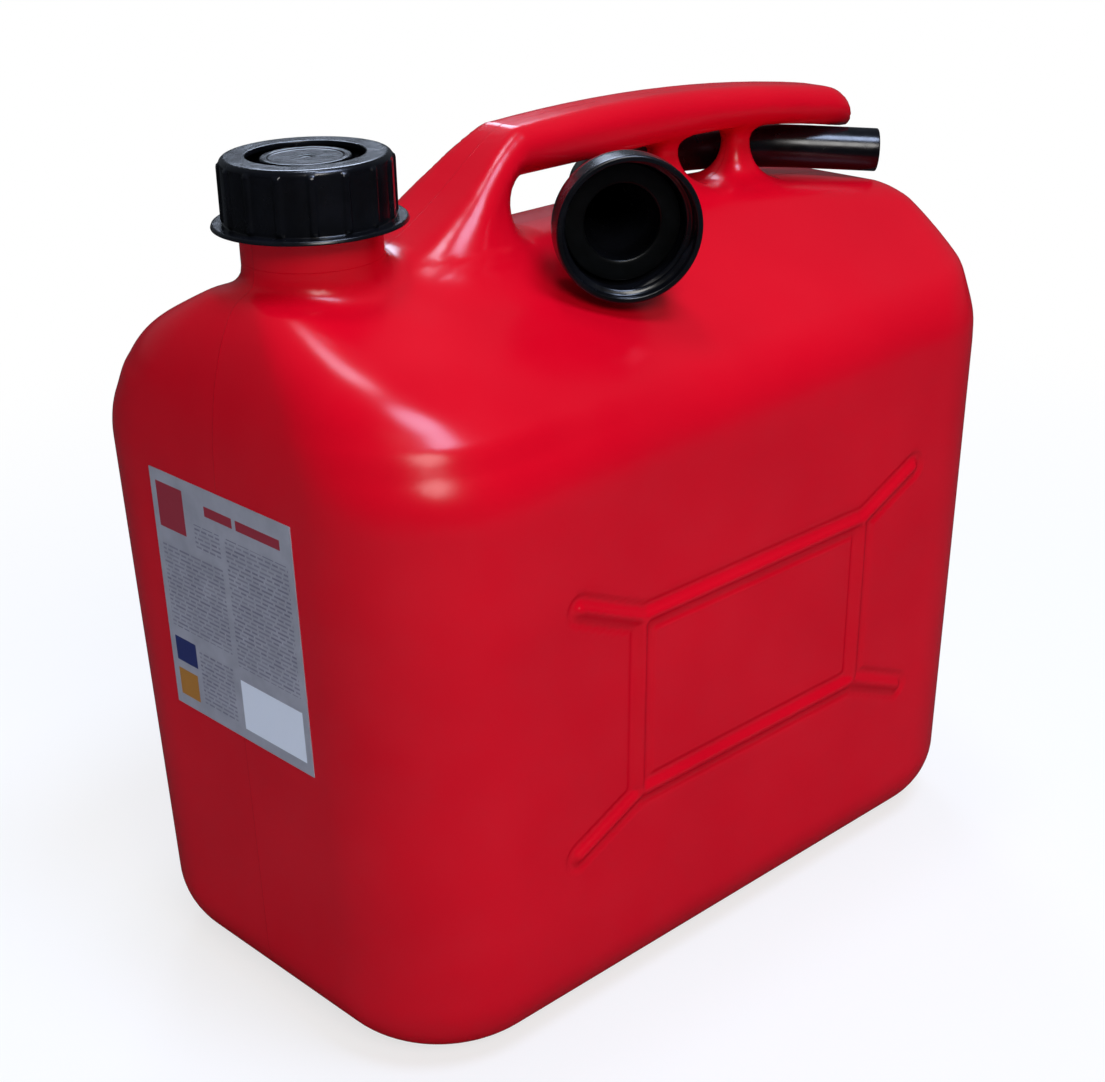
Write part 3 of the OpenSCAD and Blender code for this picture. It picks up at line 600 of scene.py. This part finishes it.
def makeCapCore():
    # an open profile from axis to axis, turned, with the thread inside and the drive lugs raised on top
    c = capInner
    fine, wall, edge = c["fineRound"], c["wallRound"], c["edgeRound"]
    dishZ, gateZ, rim = c["discTop"] - c["dish"], c["discTop"] - 2 * c["dish"], c["disc"] - c["discRim"]
    corners = [
        (0, c["under"], 0), (c["inner"], c["under"], fine), (c["inner"], c["bottom"], wall),
        (c["outer"], c["bottom"], wall), (c["outer"], c["top"], edge), (c["disc"], c["top"], edge),
        (c["disc"], c["discTop"], c["discRound"]), (rim, c["discTop"], fine),
        (rim - c["rimSlope"], dishZ, fine), (c["gate"] + c["gateSlope"], dishZ, fine),
        (c["gate"], gateZ, fine), (0, gateZ, 0),
    ]
    half = c["lugWidth"] / 2 / c["lugAt"]
    pitch = 2 * math.pi / c["lugs"]
    foot, crest = half + c["lugFoot"], half - c["lugCrest"]
    before = np.linspace(-pitch / 2, -foot, c["flatPoints"], endpoint=False)
    after = np.linspace(foot, pitch / 2, c["flatPoints"], endpoint=False)[1:]
    local = np.concatenate([before, [-foot, -crest, 0, crest, foot], after])
    angles = (np.arange(c["lugs"])[:, None] * pitch + local[None, :]).ravel()

    def screwAndLugs(r, z, angle):
        # in by the thread's height on the inner wall; up by a lug's height on the ledge round the disc
        inside = (np.abs(r - c["inner"]) < c["skin"]) & (z > c["bottom"] + c["threadFoot"]) \
            & (z < c["under"] - c["threadHead"])
        r = r - threadRise(z, angle, thread["start"] - thread["pitch"] / 2, thread["turns"]) * inside
        away = np.abs((angle + pitch / 2) % pitch - pitch / 2)
        lug = 1 - smoothStep((away - half + c["lugCrest"]) / (c["lugFoot"] + c["lugCrest"]))
        ledge = smoothStep((r - c["lugFrom"]) / c["lugEase"]) * smoothStep((c["lugTo"] - r) / c["lugEase"])
        return r, z + c["lugHeight"] * lug * (ledge * (np.abs(z - c["top"]) < c["topSkin"]))

    return turnedPiece("capCore", corners, c["step"], angles, screwAndLugs, neckFrame, closed=False)


spout = {
    "curveAt": (72.4, -64.487, 255.245), "tiltSide": 2.64, "tiltEnd": 3.1,  # where the joint spout_draw turns
    "headingStart": 58, "headingEnd": -43, "curveRadius": 86, "tipLength": 27,
    "tube": 8.2, "wall": 1.4, "coneLength": 29.5, "cone": 14.3, "mouth": 12.6, "conePower": 1.6,
    "tipRun": 3, "tipRoundOut": 0.45, "tipRoundIn": 0.35,
    "flangeLow": 32.3, "flangeTop": 34.2, "flange": 19.2, "flangeRun": 0.8, "mouthRun": 1.2,
    "flangeFoot": 0.25, "flangeRound": 0.3, "mouthRound": 0.4,
    "washer": 1.4, "washerGap": 0.02, "washerRound": (0.2, 0.3, 0.4, 2.4),
    "coneSteps": 15, "curveSteps": 76, "columns": 96,
}
spoutFrame = shift(*spout["curveAt"]) @ turn(spout["tiltEnd"], "Y") @ turn(spout["tiltSide"], "X")
mouthFrame = spoutFrame @ turn(90 + spout["headingStart"], "Z") @ shift(spout["curveRadius"], 0, 0) \
    @ turn(90, "Z") @ turn(90, "Y")


def makeSpoutTube():
    # a closed profile of (distance along the bent axis, radius) carried round it: the axis is straight at
    # the mouth, follows one arc, and is straight again at the tip
    s = spout
    arc = s["curveRadius"] * math.radians(s["headingStart"] - s["headingEnd"])
    tube, bore = s["tube"], s["tube"] - s["wall"]
    t = np.linspace(0, 1, s["coneSteps"])
    widening = t ** s["conePower"]
    coneOut = np.stack([-s["coneLength"] * t, tube + (s["cone"] - tube) * widening], 1)
    coneIn = np.stack([-s["coneLength"] * t, bore + (s["mouth"] - bore) * widening], 1)
    run = np.linspace(0, arc, s["curveSteps"])[1:, None]
    out = np.concatenate([run, run * 0 + tube], 1)
    inner = np.concatenate([run, run * 0 + bore], 1)
    tip = arc + s["tipLength"]
    rim = softCorners([(tip - s["tipRun"], tube, 0), (tip, tube, s["tipRoundOut"]),
                       (tip, bore, s["tipRoundIn"]), (tip - s["tipRun"], bore, 0)], closed=False)
    low, top = -s["flangeLow"], -s["flangeTop"]
    flange = softCorners([
        (low + s["flangeRun"], s["cone"], 0), (low, s["cone"], s["flangeFoot"]),
        (low, s["flange"], s["flangeRound"]), (top, s["flange"], s["flangeRound"]),
        (top, s["mouth"], s["mouthRound"]), (top + s["mouthRun"], s["mouth"], 0),
    ], closed=False)
    profile = np.concatenate([coneIn, inner, rim[::-1], out[::-1], coneOut, flange])
    profile = profile[np.linalg.norm(profile - np.roll(profile, 1, axis=0), axis=1) > 1e-6]
    along, radius = profile[:, 0], profile[:, 1]
    bend = np.radians(90 + s["headingStart"]) - np.clip(along, 0, arc) / s["curveRadius"]
    beyond = along - np.clip(along, 0, arc)
    outward = np.stack([np.cos(bend), np.sin(bend)], 1)
    ahead = np.stack([np.sin(bend), -np.cos(bend)], 1)
    centre = outward * s["curveRadius"] + ahead * beyond[:, None]
    angle = np.linspace(0, 2 * math.pi, s["columns"], endpoint=False)
    flat = centre[:, None] + outward[:, None] * (radius[:, None] * np.cos(angle))[..., None]
    height = radius[:, None] * np.sin(angle)
    points = np.concatenate([flat, height[..., None]], -1).reshape(-1, 3)
    return makeMesh("spoutTube", place(points, spoutFrame), ringFaces(len(profile), len(angle), True))


def makeSpoutWasher():
    # a flat ring on the flange, its inner upper edge well rounded
    s = spout
    low, high = s["flangeTop"] + s["washerGap"], s["flangeTop"] + s["washer"]
    a, b, c, d = s["washerRound"]
    points, faces = turned(softCorners([(s["mouth"], low, a), (s["flange"], low, b),
                                        (s["flange"], high, c), (s["mouth"], high, d)]), roundAngles)
    return makeMesh("spoutWasher", place(points, mouthFrame), faces)


collar = {
    "outer": 24.0, "inner": 22.0, "hole": 14.6, "low": 29.5, "high": 47.0, "plate": 2.5,
    "taper": 2.2, "taperLength": 7.5, "backSet": 2, "backRise": 1.6,
    "holeRound": 0.2, "backRound": (1.2, 1.6), "shoulderRound": 2.5, "rimRound": (0.9, 0.5),
    "insideRound": (1.5, 0.8), "step": 0.35,
    "threadTurns": 1.25, "threadLead": 1.8, "threadLaps": 1.5, "threadFoot": 1, "threadHead": 0.5,
    "skin": 0.12,
}


def makeCollar():
    # a closed profile turned round the mouth's axis, its inside pulled in to the thread
    c = collar
    low, high, hole, outer, inner = c["low"], c["high"], c["hole"], c["outer"], c["inner"]
    shoulder, plate = low + c["taperLength"], low + c["plate"]
    corners = [
        (hole, low, c["holeRound"]), (outer - c["taper"] - c["backSet"], low, c["backRound"][0]),
        (outer - c["taper"], low + c["backRise"], c["backRound"][1]), (outer, shoulder, c["shoulderRound"]),
        (outer, high, c["rimRound"][0]), (inner, high, c["rimRound"][1]),
        (inner, shoulder, c["insideRound"][0]), (inner - c["taper"], plate, c["insideRound"][1]),
        (hole, plate, c["holeRound"]),
    ]
    start = high - c["threadLead"] - thread["pitch"] * c["threadLaps"]

    def screw(r, z, angle):  # in by the thread's height on the inner wall
        inside = (np.abs(r - inner) < c["skin"]) & (z > shoulder - c["threadFoot"]) \
            & (z < high - c["threadHead"])
        return r - threadRise(z, angle, start, c["threadTurns"]) * inside, z

    return turnedPiece("spoutCollar", corners, c["step"], roundAngles, screw, mouthFrame)


# a panel is (left, low, right, high, finish) in millimetres on the film; the finish counts filmMaterials
label = {
    "width": 76, "height": 86, "bottom": 105.5, "thickness": 0.3, "sink": 0.4,
    "panels": [
        (3, 66, 18, 82, 6), (30, 76.5, 45, 80, 6), (47, 76.5, 70, 80, 6),
        (3, 30, 37, 60, 2), (40, 27, 73, 72, 2), (23, 63, 37, 72, 2),
        (3, 17, 15, 26, 3), (3, 4, 14, 14, 4), (17, 5, 36, 25, 2), (40, 4, 73, 22, 5),
    ],
}


def makeLabel():
    # a thin slab on the leaning end wall, cut along the edges of its panels, each cell with its finish
    b = label
    t = tank
    edges = np.array([p[:4] for p in b["panels"]], float)
    us = np.unique(np.concatenate([[0, b["width"]], edges[:, 0], edges[:, 2]]))
    vs = np.unique(np.concatenate([[0, b["height"]], edges[:, 1], edges[:, 3]]))
    u, v = np.meshgrid(us, vs, indexing="ij")
    z = b["bottom"] + v
    wall = t["length"] / 2 - t["endDraft"] * (1 - (z - t["baseRadius"]) / (t["wallHeight"] - t["baseRadius"]))
    front = np.stack([-wall - b["thickness"], b["width"] / 2 - u, z], -1)
    back = np.stack([-wall + b["sink"], b["width"] / 2 - u, z], -1)
    size = u.size
    grid = np.arange(size).reshape(u.shape)
    cell = np.stack([grid[:-1, :-1], grid[1:, :-1], grid[1:, 1:], grid[:-1, 1:]], -1).reshape(-1, 4)
    rim = np.concatenate([grid[0], grid[1:, -1], grid[-1, -2::-1], grid[-2:0:-1, 0]])
    following = np.roll(rim, -1)
    side = np.stack([rim, following, following + size, rim + size], 1)
    points = np.concatenate([front.reshape(-1, 3), back.reshape(-1, 3)])
    piece = makeMesh("dataLabel", points, np.concatenate([cell, cell[:, ::-1] + size, side]), smooth=False)
    middleU, middleV = np.meshgrid((us[:-1] + us[1:]) / 2, (vs[:-1] + vs[1:]) / 2, indexing="ij")
    finish = np.zeros(middleU.shape, int)
    for left, low, right, high, ink in b["panels"]:
        finish[(middleU > left) & (middleU < right) & (middleV > low) & (middleV < high)] = ink
    index = np.zeros(len(piece.data.polygons), np.int32)
    index[:finish.size] = finish.ravel()
    return piece, index


print("turned parts")
neckPiece = makeNeck()
capShellPiece = makeCapShell()
capCorePiece = makeCapCore()
tubePiece = makeSpoutTube()
washerPiece = makeSpoutWasher()
collarPiece = makeCollar()
labelPiece, labelIndex = makeLabel()


def linearColour(hexText):
    # sRGB written as hex, made linear channel by channel
    c = np.array([int(hexText[i:i + 2], 16) for i in (1, 3, 5)]) / 255
    return tuple(np.where(c <= 0.04045, c / 12.92, ((c + 0.055) / 1.055) ** 2.4)) + (1.0,)


def setInputs(tree, made, inputs):
    # an input is a value, a hex colour, a socket to link, or a node whose first output is linked
    for key, value in inputs.items():
        if isinstance(value, bpy.types.Node):
            value = value.outputs[0]
        if isinstance(value, bpy.types.NodeSocket):
            tree.links.new(value, made.inputs[key])
        else:
            made.inputs[key].default_value = linearColour(value) if isinstance(value, str) else value


def addNode(tree, kind, inputs=None, **settings):
    # a shader node of this kind with its settings, its inputs set or linked
    made = tree.nodes.new("ShaderNode" + kind)
    for key, value in settings.items():
        setattr(made, key, value)
    setInputs(tree, made, inputs or {})
    return made


def emptyTree(owner):  # the node tree of a material or a world, emptied
    owner.use_nodes = True
    owner.node_tree.nodes.clear()
    return owner.node_tree


def startMaterial(name, look, plain, low, high):
    # the colour drifts in clouds from low to high, where the two differ; plain is what the sockets hold
    # beneath the patterns
    made = bpy.data.materials.new(name)
    made.diffuse_color = linearColour(plain)
    tree = emptyTree(made)
    where = addNode(tree, "TexCoord").outputs["Object"]
    shader = addNode(tree, "BsdfPrincipled", {
        "Base Color": plain, "Roughness": look["plainRoughness"], "IOR": look["ior"],
        "Specular IOR Level": look["gloss"]})
    addNode(tree, "OutputMaterial", {"Surface": shader})
    if low != high:
        share = clouds(tree, where, *look["drift"])
        drift = addNode(tree, "Mix", {0: share, 6: low, 7: high}, data_type="RGBA")
        setInputs(tree, shader, {"Base Color": drift.outputs[2]})
    return made, tree, shader, where


def clouds(tree, where, size, detail, rough, middle, low=0, high=1):
    # noise with cells of this size in millimetres, its middle range stretched from low to high
    cells = addNode(tree, "TexNoise", {
        "Vector": where, "Scale": 1 / (size * mm), "Detail": detail, "Roughness": rough})
    return addNode(tree, "MapRange", {0: cells, 1: middle[0], 2: middle[1], 3: low, 4: high})


def relief(tree, where, size, detail, strength, depth, below=None):
    # noise as bumps: cells of this size and this depth in millimetres, on top of the relief below
    cells = addNode(tree, "TexNoise", {
        "Vector": where, "Scale": 1 / (size * mm), "Detail": detail})
    inputs = {"Height": cells, "Strength": strength, "Distance": depth * mm}
    return addNode(tree, "Bump", inputs | ({"Normal": below} if below else {}))


# in each finish, clouds are (size, detail, rough, middle) and relief is (size, detail, strength, depth), in
# millimetres; the real grains are finer and wouldn't show, so they are drawn this coarse
redPolyethylene = {
    "colour": "#D8031D", "darker": "#CE021B", "plainRoughness": 0.4, "roughness": (0.2, 0.26),
    "ior": 1.5, "gloss": 0.28, "drift": (70, 2, 0.5, (0.3, 0.7)), "sheen": (18, 2, 0.5, (0.3, 0.7)),
    "ripple": (26, 1, 0.35, 0.9), "grain": (1.1, 1, 0.15, 0.02),
    "seamHalf": 0.35, "seamStrength": 0.6, "seamDepth": 0.2,
}


def makeRedPolyethylene():
    # blow-moulded high-density polyethylene: dyed through, a satin skin with the fine grain of the mould, a
    # slow ripple where the wall cooled unevenly, and a fine parting line down the middle
    p = redPolyethylene
    made, tree, shader, where = startMaterial(
        "redBlowMouldedPolyethylene", p, p["colour"], p["darker"], p["colour"])
    across = addNode(tree, "SeparateXYZ", {0: where}).outputs[1]
    away = addNode(tree, "Math", {0: across}, operation="ABSOLUTE")
    seam = addNode(tree, "MapRange", {0: away, 1: 0, 2: p["seamHalf"] * mm, 3: 1, 4: 0})
    line = addNode(tree, "Bump", {
        "Height": seam, "Strength": p["seamStrength"], "Distance": p["seamDepth"] * mm,
        "Normal": relief(tree, where, *p["ripple"])})
    setInputs(tree, shader, {
        "Roughness": clouds(tree, where, *p["sheen"], *p["roughness"]),
        "Normal": relief(tree, where, *p["grain"], below=line)})
    return made


blackPolypropylene = {
    "colour": "#060608", "faded": "#101116", "plainRoughness": 0.26, "roughness": (0.2, 0.3),
    "ior": 1.49, "gloss": 0.45, "drift": (16, 3, 0.5, (0.35, 0.7)), "scuffs": (6, 4, 0.6, (0.4, 0.75)),
    "grain": (1.6, 2, 0.2, 0.02),
}


def makeBlackPolypropylene():
    # injection-moulded polypropylene: near black, glossier than the tank, with faint flow clouds and
    # handling scuffs
    p = blackPolypropylene
    made, tree, shader, where = startMaterial(
        "blackMouldedPolypropylene", p, p["colour"], p["colour"], p["faded"])
    setInputs(tree, shader, {
        "Roughness": clouds(tree, where, *p["scuffs"], *p["roughness"]),
        "Normal": relief(tree, where, *p["grain"])})
    return made


blackRubber = {
    "colour": "#050606", "dust": "#0A0B0C", "plainRoughness": 0.3, "ior": 1.5, "gloss": 0.2,
    "drift": (5, 5, 0.6, (0.4, 0.7)), "grain": (0.7, 3, 0.4, 0.05),
}


def makeBlackRubber():
    # nitrile rubber sheet, stamped: dull black with a faint dusty bloom
    p = blackRubber
    made, tree, shader, where = startMaterial(
        "blackNitrileRubber", p, p["colour"], p["colour"], p["dust"])
    setInputs(tree, shader, {"Normal": relief(tree, where, *p["grain"])})
    return made


film = {
    "silver": "#A6A5AF", "pale": "#B6B5BF", "line": "#6B667C", "paper": "#E9EEFA",
    "blue": "#26306E", "amber": "#B87A26", "grey": "#9795A0", "red": "#A3283A",
    "plainRoughness": 0.4, "ior": 1.5, "gloss": 0.5, "metallic": 0.15,
    "drift": (9, 4, 0.5, (0.35, 0.7)), "crease": (14, 2, 0.3, 0.3),
    # the ruled dashes, in millimetres; how dark the ink is, and the share of it in the palest dash
    "rowPitch": 1.55, "dashLength": 3.8, "gap": 0.5, "inkShare": 0.75, "palest": 0.55, "blur": 0.3,
    # every third row starts this share of a dash further on, and every second has longer dashes
    "jog": 0.37, "jogEvery": 3, "longer": 1.7, "longerEvery": 2,
}


def makeFilm(name, colour, printed=False, metallic=film["metallic"]):
    # metallised polyester label film: a dull silver that goes paler where it is rubbed, even colour where
    # it is inked, and plain ruled dashes on the printed fields in place of words
    f = film
    rubbed = f["pale" if metallic else colour]
    made, tree, shader, where = startMaterial(name, f, f[colour], f[colour], rubbed)
    setInputs(tree, shader, {"Metallic": metallic, "Normal": relief(tree, where, *f["crease"])})
    if printed:
        split = addNode(tree, "SeparateXYZ", {0: where})
        flat = addNode(tree, "CombineXYZ", {0: split.outputs[1], 1: split.outputs[2]})
        rows = addNode(tree, "TexBrick", {
            "Vector": flat, "Color1": "#FFFFFF", "Color2": (f["palest"],) * 3 + (1,),
            "Mortar": "#000000", "Scale": 1, "Mortar Size": f["gap"] * mm, "Mortar Smooth": f["blur"],
            "Bias": 0, "Brick Width": f["dashLength"] * mm, "Row Height": f["rowPitch"] * mm},
            offset=f["jog"], offset_frequency=f["jogEvery"],
            squash=f["longer"], squash_frequency=f["longerEvery"])
        ink = addNode(tree, "MapRange", {0: rows, 1: 0, 2: 1, 3: 0, 4: f["inkShare"]})
        drift = shader.inputs["Base Color"].links[0].from_socket
        ruled = addNode(tree, "Mix", {0: ink, 6: drift, 7: f["line"]}, data_type="RGBA")
        setInputs(tree, shader, {"Base Color": ruled.outputs[2]})
    return made


print("materials")
redPlastic, blackPlastic, rubber = makeRedPolyethylene(), makeBlackPolypropylene(), makeBlackRubber()
filmMaterials = [
    makeFilm("silverLabelFilm", "silver"), makeFilm("greyFilmPanel", "grey"),
    makeFilm("printedLabelFilm", "silver", printed=True), makeFilm("blueFilmInk", "blue", metallic=0),
    makeFilm("amberFilmInk", "amber", metallic=0), makeFilm("whitePaperSticker", "paper", metallic=0),
    makeFilm("redFilmInk", "red", metallic=0),
]

# piece, its materials, the body it rides on and its slot
for piece, materials, body, slotName in (
    (tankPiece, [redPlastic], "tank", "tank_plastic"), (neckPiece, [redPlastic], "tank", "tank_plastic"),
    (capShellPiece, [blackPlastic], "cap_outer", "cap_plastic"),
    (capCorePiece, [blackPlastic], "cap_inner", "cap_plastic"),
    (tubePiece, [blackPlastic], "spout", "spout_plastic"), (washerPiece, [rubber], "spout", "seal_rubber"),
    (collarPiece, [blackPlastic], "collar", "cap_plastic"), (labelPiece, filmMaterials, "tank", "label_film"),
):
    for material in materials:
        piece.data.materials.append(material)
    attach(piece, body)
labelPiece.data.polygons.foreach_set("material_index", labelIndex)

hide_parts("tank_shell", "grip_handle")
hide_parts("neck")
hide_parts("cap_shell")
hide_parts("cap_core")
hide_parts("spout_tube")
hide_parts("spout_washer")
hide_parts("spout_collar")
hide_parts("data_label")

seal = frame["nodes"]["cap_seal"]
seal.data.materials.clear()
seal.data.materials.append(rubber)

floorPaint = {
    "size": 14, "colour": "#EFEFEF", "bounce": "#D2D2D2", "mirrored": "#3A3A3A",
    # in metres from the middle of the can: the shadow is whole up to the first, and gone at the second
    "shadowReach": (0.16, 0.75), "nearWhite": 0.72,
}


def makeFloor():
    # near the can the floor keeps its shadow; further out it turns into the white of the background
    f = floorPaint
    half = f["size"] / 2
    mesh = bpy.data.meshes.new("floor")
    corners = [(-half, -half, 0), (half, -half, 0), (half, half, 0), (-half, half, 0)]
    mesh.from_pydata(corners, [], [(0, 1, 2, 3)])
    floor = bpy.data.objects.new("floor", mesh)
    bpy.context.collection.objects.link(floor)
    pale = bpy.data.materials.new("paleFloorPaint")
    mesh.materials.append(pale)
    tree = emptyTree(pale)
    seen = addNode(tree, "LightPath").outputs
    bounce = addNode(tree, "Mix", {
        0: seen["Is Glossy Ray"], 6: f["bounce"], 7: f["mirrored"]}, data_type="RGBA")
    tone = addNode(tree, "Mix", {
        0: seen["Is Camera Ray"], 6: bounce.outputs[2], 7: f["colour"]}, data_type="RGBA")
    paint = addNode(tree, "BsdfDiffuse", {"Color": tone.outputs[2]})
    white = addNode(tree, "Emission", {"Color": "#FFFFFF", "Strength": 1})
    where = addNode(tree, "TexCoord").outputs["Object"]
    away = addNode(tree, "VectorMath", {0: where}, operation="LENGTH").outputs["Value"]
    plain = addNode(tree, "MapRange", {
        0: away, 1: f["shadowReach"][0], 2: f["shadowReach"][1], 3: f["nearWhite"], 4: 1},
        interpolation_type="SMOOTHSTEP")
    share = addNode(tree, "Math", {0: seen["Is Camera Ray"], 1: plain}, operation="MULTIPLY")
    both = addNode(tree, "MixShader", {0: share, 1: paint, 2: white})
    addNode(tree, "OutputMaterial", {"Surface": both})


room = {
    # light from all round: dim in front, brighter towards the window behind and to the right; what the
    # plastic mirrors of the room is dimmer still, so that the lamps alone make its highlights
    "sky": "#DCE9F4", "dim": 0.16, "bright": 0.6, "mirrored": 0.2,
    "window": (0.5, 0.75, 0.45), "edge": (-0.1, 0.9),
}


def makeRoom():
    # the world: white where the camera sees it, the room's light for everything else
    r = room
    world = bpy.data.worlds.new("studio")
    bpy.context.scene.world = world
    tree = emptyTree(world)
    seen = addNode(tree, "LightPath").outputs
    clear = addNode(tree, "Math", {
        0: seen["Is Camera Ray"], 1: seen["Is Transmission Ray"]}, operation="MAXIMUM")
    way = addNode(tree, "TexCoord").outputs["Generated"]
    window = Vector(r["window"]).normalized()
    facing = addNode(tree, "VectorMath", {0: way, 1: window}, operation="DOT_PRODUCT")
    level = addNode(tree, "MapRange", {
        0: facing.outputs["Value"], 1: r["edge"][0], 2: r["edge"][1], 3: r["dim"], 4: r["bright"]},
        interpolation_type="SMOOTHSTEP")
    dimmer = addNode(tree, "MapRange", {0: seen["Is Glossy Ray"], 1: 0, 2: 1, 3: 1, 4: r["mirrored"]})
    strength = addNode(tree, "Math", {0: level, 1: dimmer}, operation="MULTIPLY")
    light = addNode(tree, "Background", {"Color": r["sky"], "Strength": strength})
    white = addNode(tree, "Background", {"Color": "#FFFFFF", "Strength": 1})
    both = addNode(tree, "MixShader", {0: clear, 1: light, 2: white})
    addNode(tree, "OutputWorld", {"Surface": both})


lampTarget = (0.0, 0.0, 0.15)
# name, the direction it stands in, its distance and width in metres, watts and colour
lamps = [
    ("front", (-0.46, -0.9, 0.76), 1.6, 0.6, 10, "#FFFDFA"),
    ("ceiling", (0.0, -0.42, 0.94), 1.5, 0.55, 16, "#C8DAFF"),
    ("overhead", (0.0, 0.05, 1.0), 1.5, 0.3, 5, "#D8E6FF"),
    ("back", (0.57, 0.82, 0.68), 2.0, 0.6, 10, "#D8E6FF"),
]


def makeLamps():
    # soft discs of light, each turned to face the target
    for name, direction, distance, size, power, colour in lamps:
        data = bpy.data.lights.new(name, "AREA")
        data.shape, data.size, data.energy = "DISK", size, power
        data.color = linearColour(colour)[:3]
        lamp = bpy.data.objects.new(name, data)
        way = Vector(direction).normalized()
        lamp.location = Vector(lampTarget) + way * distance
        lamp.rotation_euler = way.to_track_quat("Z", "Y").to_euler()
        bpy.context.collection.objects.link(lamp)


# where it stands in millimetres, and its three axes; the lens and the sensor are in millimetres too
camera = {
    "at": (-456.96, -481.23, 412.40), "right": (0.72370, -0.68968, -0.02449),
    "up": (0.28712, 0.26864, 0.91946), "back": (-0.62755, -0.67244, 0.39243),
    "lens": 63.29, "sensor": 36, "clip": (0.05, 60),
}


def makeCamera():
    # its axes are the columns of its turn
    c = camera
    data = bpy.data.cameras.new("camera")
    data.sensor_fit, data.sensor_width, data.lens = "HORIZONTAL", c["sensor"], c["lens"]
    data.clip_start, data.clip_end = c["clip"]
    view = bpy.data.objects.new("camera", data)
    turnTo = Matrix([c["right"], c["up"], c["back"]]).transposed()
    view.matrix_world = Matrix.Translation(Vector(c["at"]) * mm) @ turnTo.to_4x4()
    bpy.context.collection.objects.link(view)
    bpy.context.scene.camera = view


makeFloor()
makeRoom()
makeLamps()
makeCamera()
bpy.context.scene.view_settings.view_transform = "Standard"
print("studio and camera")
